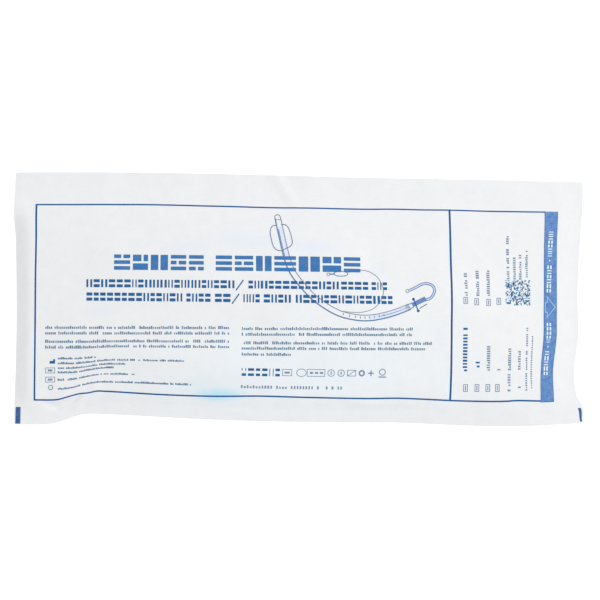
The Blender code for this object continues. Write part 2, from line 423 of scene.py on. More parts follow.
def make_web_crinkle():
    """Small facets and hair creases of a thin web that has been handled."""
    tree, given, result = new_tree(
        "web_crinkle", "ShaderNodeTree", ("Height", "Creases"),
        Facet_Size=0.014, Crease_Size=0.035, Crease_Share=0.4)
    where = object_place(tree)
    bent = made(tree, "ShaderNodeVectorMath", {0: noise(tree, where, 60.0, 2.0)["Color"],
                                               "Scale": 0.006}, operation="SCALE")
    moved = vector(tree, "ADD", where, bent)

    def cells(size, feature):
        scale = calc(tree, "DIVIDE", 1.0, given[size])
        return put(tree, "ShaderNodeTexVoronoi", {"Vector": moved, "Scale": scale},
                   feature=feature).outputs["Distance"]

    lines = remapped(tree, cells("Crease Size", "DISTANCE_TO_EDGE"), 0.0, 0.035, 1.0, 0.0)
    kept = remapped(tree, noise(tree, where, 22.0, 1.0)[0], 0.52, 0.62)
    creases = calc(tree, "MULTIPLY", lines, kept)
    share = calc(tree, "MULTIPLY", creases, given["Crease Share"])
    height = calc(tree, "ADD", cells("Facet Size", "SMOOTH_F1"), share)
    return finished(tree, result, height, creases)


def make_soft_spot():
    """Soft oval mask round one place of the paper, for what shows through from inside, and for spots
    of painted shade and painted light.
    """
    tree, given, result = new_tree(
        "soft_spot", "ShaderNodeTree", ("Mask",),
        Centre=VECTOR, Half_Size=VECTOR, Turn=0.0, Strength=1.0)
    where = object_place(tree)
    turned = made(tree, "ShaderNodeVectorRotate",
                  {"Vector": vector(tree, "SUBTRACT", where, given["Centre"]),
                   "Angle": given["Turn"]}, rotation_type="Z_AXIS")
    scaled = vector(tree, "DIVIDE", turned, given["Half Size"])
    far = put(tree, "ShaderNodeVectorMath", {0: scaled}, operation="LENGTH").outputs["Value"]
    uneven = calc(tree, "MULTIPLY", noise(tree, where, 70.0, 2.0)[0], 0.5)
    return finished(tree, result, remapped(tree, calc(tree, "ADD", far, uneven), 1.3, 0.3, 0.0,
                                           given["Strength"], interpolation_type="SMOOTHSTEP"))


FIBRE_GRAIN = make_fibre_grain()
WEB_CRINKLE = make_web_crinkle()
SOFT_SPOT = make_soft_spot()


# Materials

def new_material(name, **sockets):
    """Principled material; a value that is the same all over is set on its own socket."""
    material = bpy.data.materials.new(name)
    material.use_nodes = True
    tree = material.node_tree
    shader = tree.nodes["Principled BSDF"]
    for socket, value in sockets.items():
        shader.inputs[socket.replace("_", " ")].default_value = value
    return material, tree, shader


def place(tree, group, **values):
    """Place a shader group in a material with its own values; returns what it gives."""
    node = tree.nodes.new("ShaderNodeGroup")
    node.node_tree = group
    for name, value in values.items():
        node.inputs[name.replace("_", " ")].default_value = value
    return node.outputs


def mixed(tree, factor, first, second, blend="MIX"):
    """Colour mix; the first and second are colours or outputs."""
    return put(tree, "ShaderNodeMix", {"Factor": factor, 6: first, 7: second}, data_type="RGBA",
               blend_type=blend).outputs[2]


def linear(red, green, blue):
    """Colour as a screen shows it, made linear."""
    return tuple((c / 255 / 12.92 if c <= 10 else ((c / 255 + 0.055) / 1.055) ** 2.4)
                 for c in (red, green, blue)) + (1.0,)


def bump(tree, shader, height, strength, distance):
    shaped = made(tree, "ShaderNodeBump", {"Height": height, "Strength": strength,
                                           "Distance": distance})
    tree.links.new(shaped, shader.inputs["Normal"])


PAPER = linear(228, 230, 231.6)
PAPER_SHADE = linear(225, 227, 229.6)
SHOWING_BLUE = linear(176, 220, 238)
# Bluish grey, partly what shows through from inside and partly painted shade of the paper's creases.
GREY_SHOWN_AND_PAINTED_SHADE = linear(218, 223, 236)
# Cool white: a blue cast from inside, and partly painted light, lighter in green and blue than the
# paper.
COOL_CAST_AND_PAINTED_LIGHT = linear(224, 235, 242)

BLUE_SPOTS = (((-60, -65), (23, 6.6), -2, 0.92), ((-76, -60), (30, 9), 2, 0.16))
# Grey spots: partly what shows through from inside, partly painted shade on the paper.
GREY_AND_PAINTED_SHADE_SPOTS = (((-38, 41), (40, 8), 2, 0.5), ((-86, 35), (22, 6), -3, 0.4),
              ((-142, -7), (13, 7), 8, 0.35), ((4, 37), (26, 7), 0, 0.6),
              ((50, 20), (10, 9), 0, 0.35), ((92, -25), (8, 14), 0, 0.3),
              ((-30, -62), (9, 4), 0, 0.35))
# Broad cool spot over the lower middle: a blue cast, and partly painted light that lifts the paper's
# tone there.
COOL_CAST_AND_PAINTED_LIGHT_SPOTS = (((0, -48), (150, 44), 0, 0.42),)
SPOT_DEPTH = 10.0                    # half size of a spot in height, so that height doesn't count


def paper_material():
    material, tree, shader = new_material("medical_paper", Roughness=0.74, IOR=1.45)
    grain = place(tree, FIBRE_GRAIN, Fibre_Length=0.0009, Cloud_Size=0.007, Stretch=2.2)
    crinkle = place(tree, WEB_CRINKLE, Facet_Size=0.016, Crease_Size=0.040, Crease_Share=0.15)
    colour = mixed(tree, remapped(tree, grain["Clouds"], 0.35, 0.72), PAPER, PAPER_SHADE)
    specks = remapped(tree, grain["Grain"], 0.3, 0.7, 0.965, 1.02)
    tone = made(tree, "ShaderNodeCombineColor", {0: specks, 1: specks, 2: specks})
    colour = mixed(tree, 1.0, colour, tone, "MULTIPLY")
    # Besides what shows through from inside, the grey spots mix in painted shade and the cool spot
    # mixes in painted light.
    for spots, tint in ((COOL_CAST_AND_PAINTED_LIGHT_SPOTS, COOL_CAST_AND_PAINTED_LIGHT), (GREY_AND_PAINTED_SHADE_SPOTS, GREY_SHOWN_AND_PAINTED_SHADE),
                        (BLUE_SPOTS, SHOWING_BLUE)):
        for (u, v), (half_u, half_v), turn, strength in spots:
            spot = place(tree, SOFT_SPOT, Centre=(u * MM, v * MM, 0.0),
                         Half_Size=(half_u * MM, half_v * MM, SPOT_DEPTH),
                         Turn=math.radians(turn), Strength=strength)
            colour = mixed(tree, spot["Mask"], colour, tint)
    tree.links.new(colour, shader.inputs["Base Color"])
    height = calc(tree, "ADD", calc(tree, "MULTIPLY", grain["Height"], 0.25), crinkle["Height"])
    bump(tree, shader, height, 0.35, 0.0004)
    return material


def film_material():
    material, tree, shader = new_material("hazy_film", Roughness=0.28, IOR=1.5,
                                          Coat_Weight=0.25, Coat_Roughness=0.12)
    crinkle = place(tree, WEB_CRINKLE, Facet_Size=0.011, Crease_Size=0.026, Crease_Share=0.8)
    haze = place(tree, FIBRE_GRAIN, Fibre_Length=0.003, Cloud_Size=0.02, Stretch=1.0)
    colour = mixed(tree, haze["Clouds"], linear(222, 227, 232), linear(206, 214, 222))
    colour = mixed(tree, crinkle["Creases"], colour, linear(238, 241, 244))
    tree.links.new(colour, shader.inputs["Base Color"])
    bump(tree, shader, crinkle["Height"], 0.5, 0.0006)
    return material


def ink_material(name, tone, wear, cloud=0.004):
    """Printed ink in a tone as a screen shows it: some paper shows where fibres lie high."""
    material, tree, shader = new_material(name, Roughness=0.7, Specular_IOR_Level=0.15)
    grain = place(tree, FIBRE_GRAIN, Fibre_Length=0.0009, Cloud_Size=cloud, Stretch=2.2)
    bare = remapped(tree, grain["Grain"], 0.45, 0.75, 0.0, wear)
    weak = remapped(tree, grain["Clouds"], 0.35, 0.7, 0.0, wear * 0.7)
    colour = mixed(tree, calc(tree, "ADD", bare, weak), linear(*tone), PAPER)
    tree.links.new(colour, shader.inputs["Base Color"])
    bump(tree, shader, grain["Height"], 0.2, 0.00008)
    return material


MEDICAL_PAPER = paper_material()
HAZY_FILM = film_material()
HEADING_INK = ink_material("heading_ink", (44, 108, 168), 0.06)
SUBHEAD_INK = ink_material("subhead_ink", (6, 88, 144), 0.04)
LINE_INK = ink_material("line_ink", (6, 82, 142), 0.03)
BAND_INK = ink_material("band_ink", (60, 118, 182), 0.20, 0.003)
BAND_EDGE_INK = ink_material("band_edge_ink", (48, 104, 172), 0.06)
DRAWING_INK = ink_material("drawing_ink", (92, 112, 138), 0.08)
WALL_INK = ink_material("tube_wall_ink", (78, 114, 156), 0.08)
FITTING_INK = ink_material("fitting_ink", (88, 122, 178), 0.10)
TUBE_TINT = ink_material("tube_tint", (209, 219, 238), 0.2)
TEXT_INK = ink_material("text_ink", (85, 118, 147), 0.10)
PANEL_INK = ink_material("panel_ink", (111, 131, 155), 0.10)
DOT_INK = ink_material("dot_ink", (86, 142, 184), 0.08)
MARK_INK = ink_material("edge_mark_ink", (28, 80, 136), 0.10)
REVERSED_WHITE = ink_material("reversed_white", (216, 230, 246), 0.05)
ARROW_WHITE = ink_material("arrow_white", (168, 196, 232), 0.05)


# The webs

def make_crinkle_tree():
    """Raise and sink the webs by a few tenths of a millimetre, as handled paper lies."""
    tree, given, result = new_tree(
        "crinkle_webs", "GeometryNodeTree", ("Geometry",), Geometry=GEOMETRY, Crinkle_Height=0.0003,
        Crinkle_Size=0.03, Pucker_Height=0.0002, Pucker_Length=0.012, Seed=0.0)

    def waves(height, size, stretch, detail, share):
        """Soft waves of a given height and size, by the share that an attribute of the webs holds."""
        drawn = vector(tree, "MULTIPLY", attribute(tree, "flat_place", "FLOAT_VECTOR"), stretch)
        wave = made(tree, "ShaderNodeTexNoise",
                    {"Vector": drawn, "W": given["Seed"], "Detail": detail, "Roughness": 0.45,
                     "Scale": calc(tree, "DIVIDE", 1.0, given[size])}, noise_dimensions="4D")
        wave = calc(tree, "MULTIPLY", calc(tree, "SUBTRACT", wave, 0.5), given[height])
        wave = calc(tree, "MULTIPLY", wave, 4.0)
        return calc(tree, "MULTIPLY", wave, attribute(tree, share, "FLOAT"))

    up = calc(tree, "ADD", waves("Crinkle Height", "Crinkle Size", (1.0, 1.5, 1.0), 2.0, "give"),
              waves("Pucker Height", "Pucker Length", (1.0, 0.45, 1.0), 1.0, "by_seal"))
    moved = made(tree, "GeometryNodeSetPosition", {"Geometry": given["Geometry"],
                                                   "Offset": xyz(tree, z=up)})
    return finished(tree, result, moved)


# How far each point gives way to the crinkle, and where the webs pucker beside their seals
EDGE_GIVE = 0.3
GIVE_REACH = 0.020
STILL_LIP = 0.030
EDGE_PUCKER = 0.4
PUCKER_END = 0.010
PUCKER_FADE = 0.022


def make_webs():
    """One closed loft of the paper web, the lips of the peel end and the film web."""
    columns = len(ALONG)
    rows = len(ACROSS)
    lip = CELLS_ALONG[-1]
    root = columns - 1 - lip
    inner = slice(root + 1, columns)
    square_u, square_v = np.meshgrid(ALONG, ACROSS)
    u, v = rounded_corners(square_u, square_v)
    film, paper, held_up = heights(u, v)
    paper = paper + LIP_GAP * ease((square_u - LIP_ROOT) / PEEL_LIP)

    def around(on_paper, on_film, under_paper, on_root, over_film):
        """Values along one section: paper out, its lip back, the root, film lip out, film back."""
        return np.concatenate((on_paper, under_paper[:, inner][:, ::-1], on_root[:, root:root + 1],
                               over_film[:, inner], on_film[:, ::-1]), axis=1)

    def same(values, on_film=None):
        """Values that the inside of the lips shares with the paper."""
        return around(values, values if on_film is None else on_film, values, values, values)

    z = around(paper, film, paper - WEB, (film + paper) / 2, film + WEB)
    from_edge = np.minimum(np.minimum(WIDTH / 2 - np.abs(v), u - CLOSED_END), LENGTH / 2 - u)
    give = EDGE_GIVE + (1 - EDGE_GIVE) * ease(from_edge / GIVE_REACH)
    give = give * ease((LENGTH / 2 - u) / STILL_LIP)
    by_seal = EDGE_PUCKER + (1 - EDGE_PUCKER) * ease(from_edge / SIDE_SEAL)
    by_seal = by_seal * (1 - ease((from_edge - PUCKER_END) / PUCKER_FADE))

    count = z.shape[1]
    ring_index = np.arange(count)
    starts = np.arange(rows - 1)[:, None] * count
    first = (starts + ring_index).ravel()
    following = (starts + (ring_index + 1) % count).ravel()
    faces = np.stack((first, following, following + count, first + count), axis=1).tolist()
    kinds = np.tile(np.where((ring_index < columns + lip) | (ring_index == count - 1), 0, 1),
                    rows - 1).tolist()
    for start in (0, (rows - 1) * count):
        for i in range(root):
            corners = [start + i, start + i + 1, start + count - 2 - i, start + count - 1 - i]
            if i + 1 == root:
                corners.insert(2, start + columns + lip)
            faces.append(corners)
            kinds.append(0)
        for k in range(lip):
            out, back = start + columns - 1 - k, start + columns + k
            faces.append([out, back, back + 1, out - 1])
            film_in, film_out = start + columns + 2 * lip - k, start + columns + 2 * lip + 1 + k
            faces.append([film_in, film_out, film_out + 1, film_in - 1])
            kinds += [0, 1]
    x, y = plan(u, v)
    mesh = bpy.data.meshes.new("pouch_webs")
    mesh.from_pydata(np.stack((same(x).ravel(), same(y).ravel(), z.ravel()), axis=1).tolist(), [],
                     faces)
    mesh.polygons.foreach_set("material_index", kinds)

    for name, values in (("give", same(give, give * held_up)),
                         ("by_seal", same(by_seal, by_seal * held_up))):
        mesh.attributes.new(name, "FLOAT", "POINT").data.foreach_set("value", values.ravel())
    places = np.stack((same(u).ravel(), same(v).ravel(), np.zeros(z.size)), axis=1)
    mesh.attributes.new("flat_place", "FLOAT_VECTOR", "POINT").data.foreach_set(
        "vector", places.ravel())
    map_webs(mesh, places, np.tile(ring_index, rows), columns, lip, count)
    bm = bmesh.new()
    bm.from_mesh(mesh)
    bmesh.ops.recalc_face_normals(bm, faces=bm.faces)
    flat = [face for face in bm.faces if all(vert.co.z == 0 for vert in face.verts)]
    bmesh.ops.dissolve_faces(bm, faces=flat, use_verts=False)
    bm.to_mesh(mesh)
    bm.free()
    for material in (MEDICAL_PAPER, HAZY_FILM):
        mesh.materials.append(material)
    return new_object("pouch_webs", mesh)


def map_webs(mesh, places, ring_index, columns, lip, count):
    """Lay out the flat place of each corner, and a second map with every web in its own strip."""
    corner_verts = np.zeros(len(mesh.loops), int)
    mesh.loops.foreach_get("vertex_index", corner_verts)
    lengths = np.zeros(len(mesh.polygons), int)
    mesh.polygons.foreach_get("loop_total", lengths)
    polygon = np.repeat(np.arange(len(lengths)), lengths)
    low = np.full(len(lengths), count)
    high = np.zeros(len(lengths), int)
    np.minimum.at(low, polygon, ring_index[corner_verts])
    np.maximum.at(high, polygon, ring_index[corner_verts])
    low, high = low[polygon], high[polygon]
    on_paper = high < columns
    on_film = low >= columns + 2 * lip + 1
    across = places[corner_verts, 1] / WIDTH + 0.5
    along = places[corner_verts, 0] / LENGTH + 0.5
    flat = np.stack((along, np.where(on_paper, across, across + 2.0)), axis=1)
    strip = np.where(on_film, 0.49 + 0.47 * across, 0.97 + 0.025 * (1 - along) / (PEEL_LIP / LENGTH))
    strip = np.where(on_paper, 0.47 * across, strip)
    bake = np.stack((np.where(on_paper | on_film, along, across), np.clip(strip, 0, 1)), axis=1)
    for name, values in (("flat_pouch", flat), ("OFBake", bake)):
        mesh.uv_layers.new(name=name).uv.foreach_set("vector", values.ravel())


def shift_to_frame(obj):
    """Bring the webs onto the CAD node: same middle, base on the table."""
    low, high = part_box("peel_pouch")
    co = np.zeros(len(obj.data.vertices) * 3)
    obj.data.vertices.foreach_get("co", co)
    co = co.reshape(-1, 3)
    middle = (co.min(0) + co.max(0)) / 2
    shift = ((low[0] + high[0]) / 2 - middle[0], (low[1] + high[1]) / 2 - middle[1])
    co[:, 0] += shift[0]
    co[:, 1] += shift[1]
    obj.data.vertices.foreach_set("co", co.ravel())
    return shift


WEB_BEND = 50                        # bends of more degrees than this stay sharp
PRINT_BEND = 40


def smooth_outside(obj, angle):
    obj.data.shade_smooth()
    obj.data.set_sharp_from_angle(angle=math.radians(angle))


webs = make_webs()
use_tree(webs, make_crinkle_tree(), crinkle_height=0.00035, crinkle_size=0.034,
         pucker_height=0.00016, pucker_length=0.013, seed=3.7)
made_plain(webs)
FRAME_SHIFT = shift_to_frame(webs)
smooth_outside(webs, WEB_BEND)
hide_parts("peel_pouch")
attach(webs, "root")


# Print, set out flat in millimetres of the flat pouch

MITRE_LEAST = 0.4                    # cosine that stops a mitre from growing long
CUT_SNAP = 1e-7


def rounded(bm, left, low, right, top, corner=0.0, steps=3):
    """Filled rectangle with rounded corners."""
    points = []
    for cu, cv, turn in ((right - corner, top - corner, 0), (left + corner, top - corner, 1),
                         (left + corner, low + corner, 2), (right - corner, low + corner, 3)):
        for i in range(steps + 1 if corner else 1):
            angle = (turn + (i / steps if corner else 0.5)) * math.pi / 2
            points.append((cu + corner * math.cos(angle), cv + corner * math.sin(angle)))
    bm.faces.new([bm.verts.new((a * MM, b * MM, 0)) for a, b in points])


def stroke(bm, points, width, closed=False):
    """Line of even width through the points, mitred at each."""
    path = [Vector(p) for p in points]
    count = len(path)
    sides = []
    for i, point in enumerate(path):
        before = path[i - 1] if i or closed else point
        after = path[(i + 1) % count] if i + 1 < count or closed else point
        arriving = (point - before).normalized() if (point - before).length else None
        leaving = (after - point).normalized() if (after - point).length else None
        run = ((arriving or leaving) + (leaving or arriving)).normalized()
        across = Vector((-run.y, run.x))
        edge = Vector((-(leaving or arriving).y, (leaving or arriving).x))
        half = width / 2 / max(across.dot(edge), MITRE_LEAST)
        sides.append([bm.verts.new(((point + across * side * half) * MM).to_3d())
                      for side in (-1, 1)])
    for i in range(count if closed else count - 1):
        a, b = sides[i], sides[(i + 1) % count]
        bm.faces.new((a[0], b[0], b[1], a[1]))


def arc(cu, cv, radius, start, end, steps, squash=1.0):
    """Points of an arc, its angles in degrees."""
    angles = [math.radians(start + (end - start) * i / steps) for i in range(steps + 1)]
    return [(cu + radius * math.cos(a), cv + radius * squash * math.sin(a)) for a in angles]


def ring(bm, cu, cv, radius, width, parts=20, squash=1.0):
    stroke(bm, arc(cu, cv, radius, 0, 360, parts, squash)[:-1], width, closed=True)


def smooth_path(points, steps):
    """Even curve through all of the points, with so many steps from each to the next."""
    knots = [Vector(p) for p in points]
    knots = [2 * knots[0] - knots[1], *knots, 2 * knots[-1] - knots[-2]]
    path = []
    for a, b, c, d in zip(knots, knots[1:], knots[2:], knots[3:]):
        for i in range(steps):
            t = i / steps
            path.append(0.5 * (2 * b + (c - a) * t + (2 * a - 5 * b + 4 * c - d) * t ** 2
                               + (3 * b - a - 3 * c + d) * t ** 3))
    return path + [knots[-2]]


def beside(path, distance):
    """The path moved sideways by an even distance."""
    moved = []
    for i, point in enumerate(path):
        run = (path[min(i + 1, len(path) - 1)] - path[max(i - 1, 0)]).normalized()
        moved.append(point + Vector((-run.y, run.x)) * distance)
    return moved


def cut_on_grid(bm):
    """Cut flat print along the grid lines of the paper, so that it can follow its curves."""
    for axis, lines in enumerate((ALONG, ACROSS)):
        normal = (1 - axis, axis, 0)
        places = [vert.co[axis] for vert in bm.verts]
        for line in lines[(lines > min(places)) & (lines < max(places))]:
            bmesh.ops.bisect_plane(bm, geom=bm.verts[:] + bm.edges[:] + bm.faces[:], dist=CUT_SNAP,
                                   plane_co=[line * n for n in normal], plane_no=normal)


def inked(tree, geometry, ink):
    """Real geometry with its ink on it, as both print trees end."""
    real = made(tree, "GeometryNodeRealizeInstances", {0: geometry})
    return made(tree, "GeometryNodeSetMaterial", {"Geometry": real, "Material": ink})


def make_lay_tree():
    """Give flat print the thickness of its ink and lay it on the paper web."""
    tree, given, result = new_tree(
        "lay_on_paper", "GeometryNodeTree", ("Geometry",), Geometry=GEOMETRY, Paper=OBJECT,
        Flat_Length=LENGTH, Flat_Width=WIDTH, Lift=0.00002, Ink_Thickness=0.00005, Ink=MATERIAL)
    flat = given["Geometry"]
    raised = made(tree, "GeometryNodeExtrudeMesh",
                  {"Mesh": flat, "Offset": xyz(tree, z=given["Ink Thickness"]),
                   "Offset Scale": 1.0, "Individual": False}, mode="FACES")
    joined = tree.nodes.new("GeometryNodeJoinGeometry")
    for part in (raised, made(tree, "GeometryNodeFlipFaces", {0: flat})):
        tree.links.new(part, joined.inputs[0])
    closed = made(tree, "GeometryNodeMergeByDistance", {"Geometry": joined.outputs[0],
                                                        "Distance": 0.000005})
    here = made(tree, "GeometryNodeInputPosition")
    size = xyz(tree, given["Flat Length"], given["Flat Width"], 1.0)
    sample_at = vector(tree, "ADD", vector(tree, "DIVIDE", here, size), (0.5, 0.5, 0.0))
    paper = put(tree, "GeometryNodeObjectInfo", {"Object": given["Paper"]}).outputs["Geometry"]
    sample = put(tree, "GeometryNodeSampleUVSurface",
                 {"Mesh": paper, "Value": here, "Sample UV": sample_at}, data_type="FLOAT_VECTOR")
    map_socket = next(socket for socket in sample.inputs if "UV Map" in socket.name)
    feed(tree, map_socket, attribute(tree, "flat_pouch", "FLOAT_VECTOR"))
    height = put(tree, "ShaderNodeSeparateXYZ", {0: here}).outputs[2]
    above = xyz(tree, z=calc(tree, "ADD", height, given["Lift"]))
    bounds = put(tree, "GeometryNodeBoundBox", {0: closed}).outputs
    map_at = vector(tree, "DIVIDE", vector(tree, "SUBTRACT", here, bounds["Min"]),
                    vector(tree, "SUBTRACT", bounds["Max"], bounds["Min"]))
    mapped = made(tree, "GeometryNodeStoreNamedAttribute",
                  {"Geometry": closed, "Name": "OFBake", "Value": map_at},
                  data_type="FLOAT2", domain="CORNER")
    laid = made(tree, "GeometryNodeSetPosition",
                {"Geometry": mapped, "Position": vector(tree, "ADD", sample.outputs[0], above)})
    return finished(tree, result, inked(tree, laid, given["Ink"]))


def make_rows_tree():
    """Set rows of small upright bars along guide lines, as a line of fine print looks."""
    tree, given, result = new_tree(
        "set_rows", "GeometryNodeTree", ("Geometry",), Geometry=GEOMETRY, Pitch=0.0013,
        Bar_Width=0.0009, Width_Spread=0.2, Short_Share=0.2, Gap_Share=0.1, Seed=1, Ink=MATERIAL)
    line = made(tree, "GeometryNodeMeshToCurve", {0: given["Geometry"]})
    spaced = made(tree, "GeometryNodeResampleCurve", {"Curve": line, "Length": given["Pitch"]},
                  mode="LENGTH")

    def drawn(low, high, step):
        seed = calc(tree, "ADD", given["Seed"], float(step))
        return put(tree, "FunctionNodeRandomValue", {2: low, 3: high, "Seed": seed},
                   data_type="FLOAT").outputs[1]

    def chosen(operation, chance, share):
        return made(tree, "FunctionNodeCompare", {0: chance, 1: given[share]}, data_type="FLOAT",
                    operation=operation)

    kept = chosen("GREATER_THAN", drawn(0.0, 1.0, 0), "Gap Share")
    short = chosen("LESS_THAN", drawn(0.0, 1.0, 1), "Short Share")
    spread = calc(tree, "MULTIPLY", drawn(-1.0, 1.0, 2), given["Width Spread"])
    width = calc(tree, "MULTIPLY", given["Bar Width"], calc(tree, "ADD", spread, 1.0))
    drop = calc(tree, "SUBTRACT", 1.0, calc(tree, "MULTIPLY", short, 0.3))
    tall = calc(tree, "MULTIPLY", attribute(tree, "row_height", "FLOAT"), drop)
    bar = made(tree, "GeometryNodeMeshGrid", {"Size X": 1.0, "Size Y": 1.0, "Vertices X": 2,
                                              "Vertices Y": 2})
    standing = made(tree, "GeometryNodeTransform", {"Geometry": bar, "Translation": (0.0, 0.5, 0.0)})
    turn = made(tree, "FunctionNodeAlignEulerToVector",
                {"Vector": made(tree, "GeometryNodeInputTangent")}, axis="X", pivot_axis="Z")
    bars = made(tree, "GeometryNodeInstanceOnPoints",
                {"Points": spaced, "Selection": kept, "Instance": standing, "Rotation": turn,
                 "Scale": xyz(tree, width, tall, 1.0)})
    return finished(tree, result, inked(tree, bars, given["Ink"]))


LAY_ON_PAPER = make_lay_tree()
SET_ROWS = make_rows_tree()
INK_THICKNESS = 0.00005
INK_LIFT = 0.00003
INK_LAYER = 0.00001
PRINT_REGISTER = Vector((0.00105, -0.0001, 0.0))     # where the print's own origin falls on the webs


def finish_print(obj, ink, layer=0):
    """Lay flat print on the paper, lifted by so many thin layers more than plain print."""
    use_tree(obj, LAY_ON_PAPER, paper=webs, flat_length=LENGTH, flat_width=WIDTH,
             lift=INK_LIFT + layer * INK_LAYER, ink_thickness=INK_THICKNESS, ink=ink)
    made_plain(obj)
    smooth_outside(obj, PRINT_BEND)
    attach(obj, "root")


def printed(name, draw, ink, layer=0):
    """Print piece of filled shapes."""
    bm = bmesh.new()
    draw(bm)
    bmesh.ops.translate(bm, verts=bm.verts, vec=PRINT_REGISTER)
    cut_on_grid(bm)
    for face in bm.faces:
        if face.calc_area() and face.normal.z < 0:
            face.normal_flip()
    mesh = bpy.data.meshes.new(name)
    bm.to_mesh(mesh)
    bm.free()
    finish_print(new_object(name, mesh), ink, layer)


def printed_rows(name, rows, ink, seed, **sizes):
    """Print piece of rows of bars; a row is its start, its end and the height of its bars."""
    points = [point for row in rows for point in row[:2]]
    mesh = bpy.data.meshes.new(name)
    mesh.from_pydata([PRINT_REGISTER + Vector((u, v, 0)) * MM for u, v in points],
                     [(2 * i, 2 * i + 1) for i in range(len(rows))], [])
    tall = [row[2] * MM for row in rows for point in row[:2]]
    mesh.attributes.new("row_height", "FLOAT", "POINT").data.foreach_set("value", tall)
    obj = new_object(name, mesh)
    use_tree(obj, SET_ROWS, seed=seed, ink=ink, **sizes)
    finish_print(obj, ink)


# Lines and blocks that the print is drawn with

BLOCK_CORNER = 0.25
HAIR_LINE = 0.4
THIN_LINE = 0.5
SIGN_LINE = 0.42


def ribbon(bm, one, other):
    """Filled strip between two paths of as many points."""
    rails = [[bm.verts.new((Vector(point) * MM).to_3d()) for point in path] for path in (one, other)]
    for i in range(len(one) - 1):
        bm.faces.new((rails[0][i], rails[1][i], rails[1][i + 1], rails[0][i + 1]))


def box_line(bm, left, low, right, top, width):
    """Empty box drawn with one line."""
    stroke(bm, [(left, low), (right, low), (right, top), (left, top)], width, closed=True)


def dash(bm, left, right, v, width):
    stroke(bm, [(left, v), (right, v)], width)


def post(bm, u, low, top, width):
    stroke(bm, [(u, low), (u, top)], width)


def tilt(bm, already, pivot, rise):
    """Tilt what was drawn after the first vertices: v grows by the rise for each mm along."""
    bm.verts.ensure_lookup_table()
    for vert in bm.verts[already:]:
        vert.co.y += rise * (vert.co.x - pivot * MM)


def block_row(bm, rng, left, right, low, high, width, gap, slot, courses, posts=0.0, parted=0.0):
    """Row of generic blocks in place of a word: stacks of bars, some parted, or pairs of posts."""
    count = max(1, round((right - left + gap) / (width + gap)))
    sizes = [rng.uniform(0.8, 1.2) for number in range(count)]
    share = (right - left - gap * (count - 1)) / sum(sizes)
    at = left
    for size in sizes:
        wide = size * share
        if rng.random() < posts:
            for foot in (at, at + (wide + slot) / 2):
                rounded(bm, foot, low, foot + (wide - slot) / 2, high, BLOCK_CORNER, 2)
        else:
            number = rng.choice(courses)
            bar = (high - low - slot * (number - 1)) / number
            for k in range(number):
                base = low + k * (bar + slot)
                ends = [at, at + wide]
                if rng.random() < parted:
                    cut = at + wide * rng.uniform(0.35, 0.65)
                    ends[1:1] = [cut - slot / 2, cut + slot / 2]
                for start, end in zip(ends[::2], ends[1::2]):
                    rounded(bm, start, base, end, base + bar, BLOCK_CORNER, 2)
        at += wide + gap


# Frame of the label, with the panel line and the band of the peel end

FRAME_LEFT, FRAME_TOP, FRAME_LOW = -187.3, 63.7, -69.0
PANEL_AT = 100.1


def frame_lines(bm):
    top_line = [(-135, 64.05), (-112, 64.2), (-92, 64.05), (-60, 63.75), (-27, 63.4), (0, 63.6),
                (38, 63.5), (60, 63.9), (82, 63.7), (104, 63.8), (126, 63.5), (150, 63.5),
                (171, 63.6)]
    left_line = [(FRAME_LEFT + 0.75, 50), (FRAME_LEFT + 0.2, 30), (FRAME_LEFT - 0.25, 4),
                 (FRAME_LEFT - 0.3, -30)]
    low_line = [(FRAME_LEFT, FRAME_LOW), (-176, -69.1), (-170, -68.7), (-165.5, -68.1),
                (-160, -67.8), (-155.5, -68.1), (-151.5, -68.8), (-148, -68.65), (-144, -68.2),
                (-138, -68.35), (-105, -69.2), (-70, -69.1), (-50, -68.5), (-32, -68.0),
                (0, -68.4), (40, -68.9), (64, -68.6), (100, -69.1), (136, -69.1), (150, -68.6),
                (169, -69.3)]
    stroke(bm, smooth_path(top_line[::-1] + [(FRAME_LEFT + 0.85, FRAME_TOP)], 3), 0.95)
    stroke(bm, smooth_path([(FRAME_LEFT + 0.85, FRAME_TOP + 0.4)] + left_line
                           + [(FRAME_LEFT, FRAME_LOW - 0.4)], 3), 1.2)
    stroke(bm, smooth_path(low_line, 3), 1.05)
    stroke(bm, smooth_path([(PANEL_AT, FRAME_TOP), (PANEL_AT, 34), (PANEL_AT - 0.5, -3),
                            (PANEL_AT + 0.2, -44), (PANEL_AT + 0.1, FRAME_LOW)], 4), 1.4)


BAND_LEFT = smooth_path([(170.3, 64.0), (170.6, 44), (170.9, 27), (171.2, 3), (170.6, -20),
                         (170.5, -32), (169.8, -56), (168.4, -70)], 3)
BAND_RIGHT = smooth_path([(180.5, 64.0), (180.6, 44), (181.2, 30), (182.0, 3), (181.3, -20),
                          (181.4, -36), (180.9, -58), (179.9, -70)], 3)
BAND_LEAN = 0.012                    # how far the words of the band lean to the right, per mm up


def band(bm):
    ribbon(bm, BAND_LEFT, BAND_RIGHT)


def band_edges(bm):
    stroke(bm, beside(BAND_LEFT, 0.25), THIN_LINE)
    stroke(bm, beside(BAND_RIGHT, -0.2), HAIR_LINE)
    stroke(bm, [BAND_LEFT[-1], BAND_RIGHT[-1]], THIN_LINE)


def band_arrow(bm):
    stroke(bm, [(174.0, 3.0), (180.3, -4.3), (173.6, -11.7), (173.9, -8.1), (172.2, -7.8),
                (172.4, -0.9), (174.2, -0.6)], THIN_LINE, closed=True)


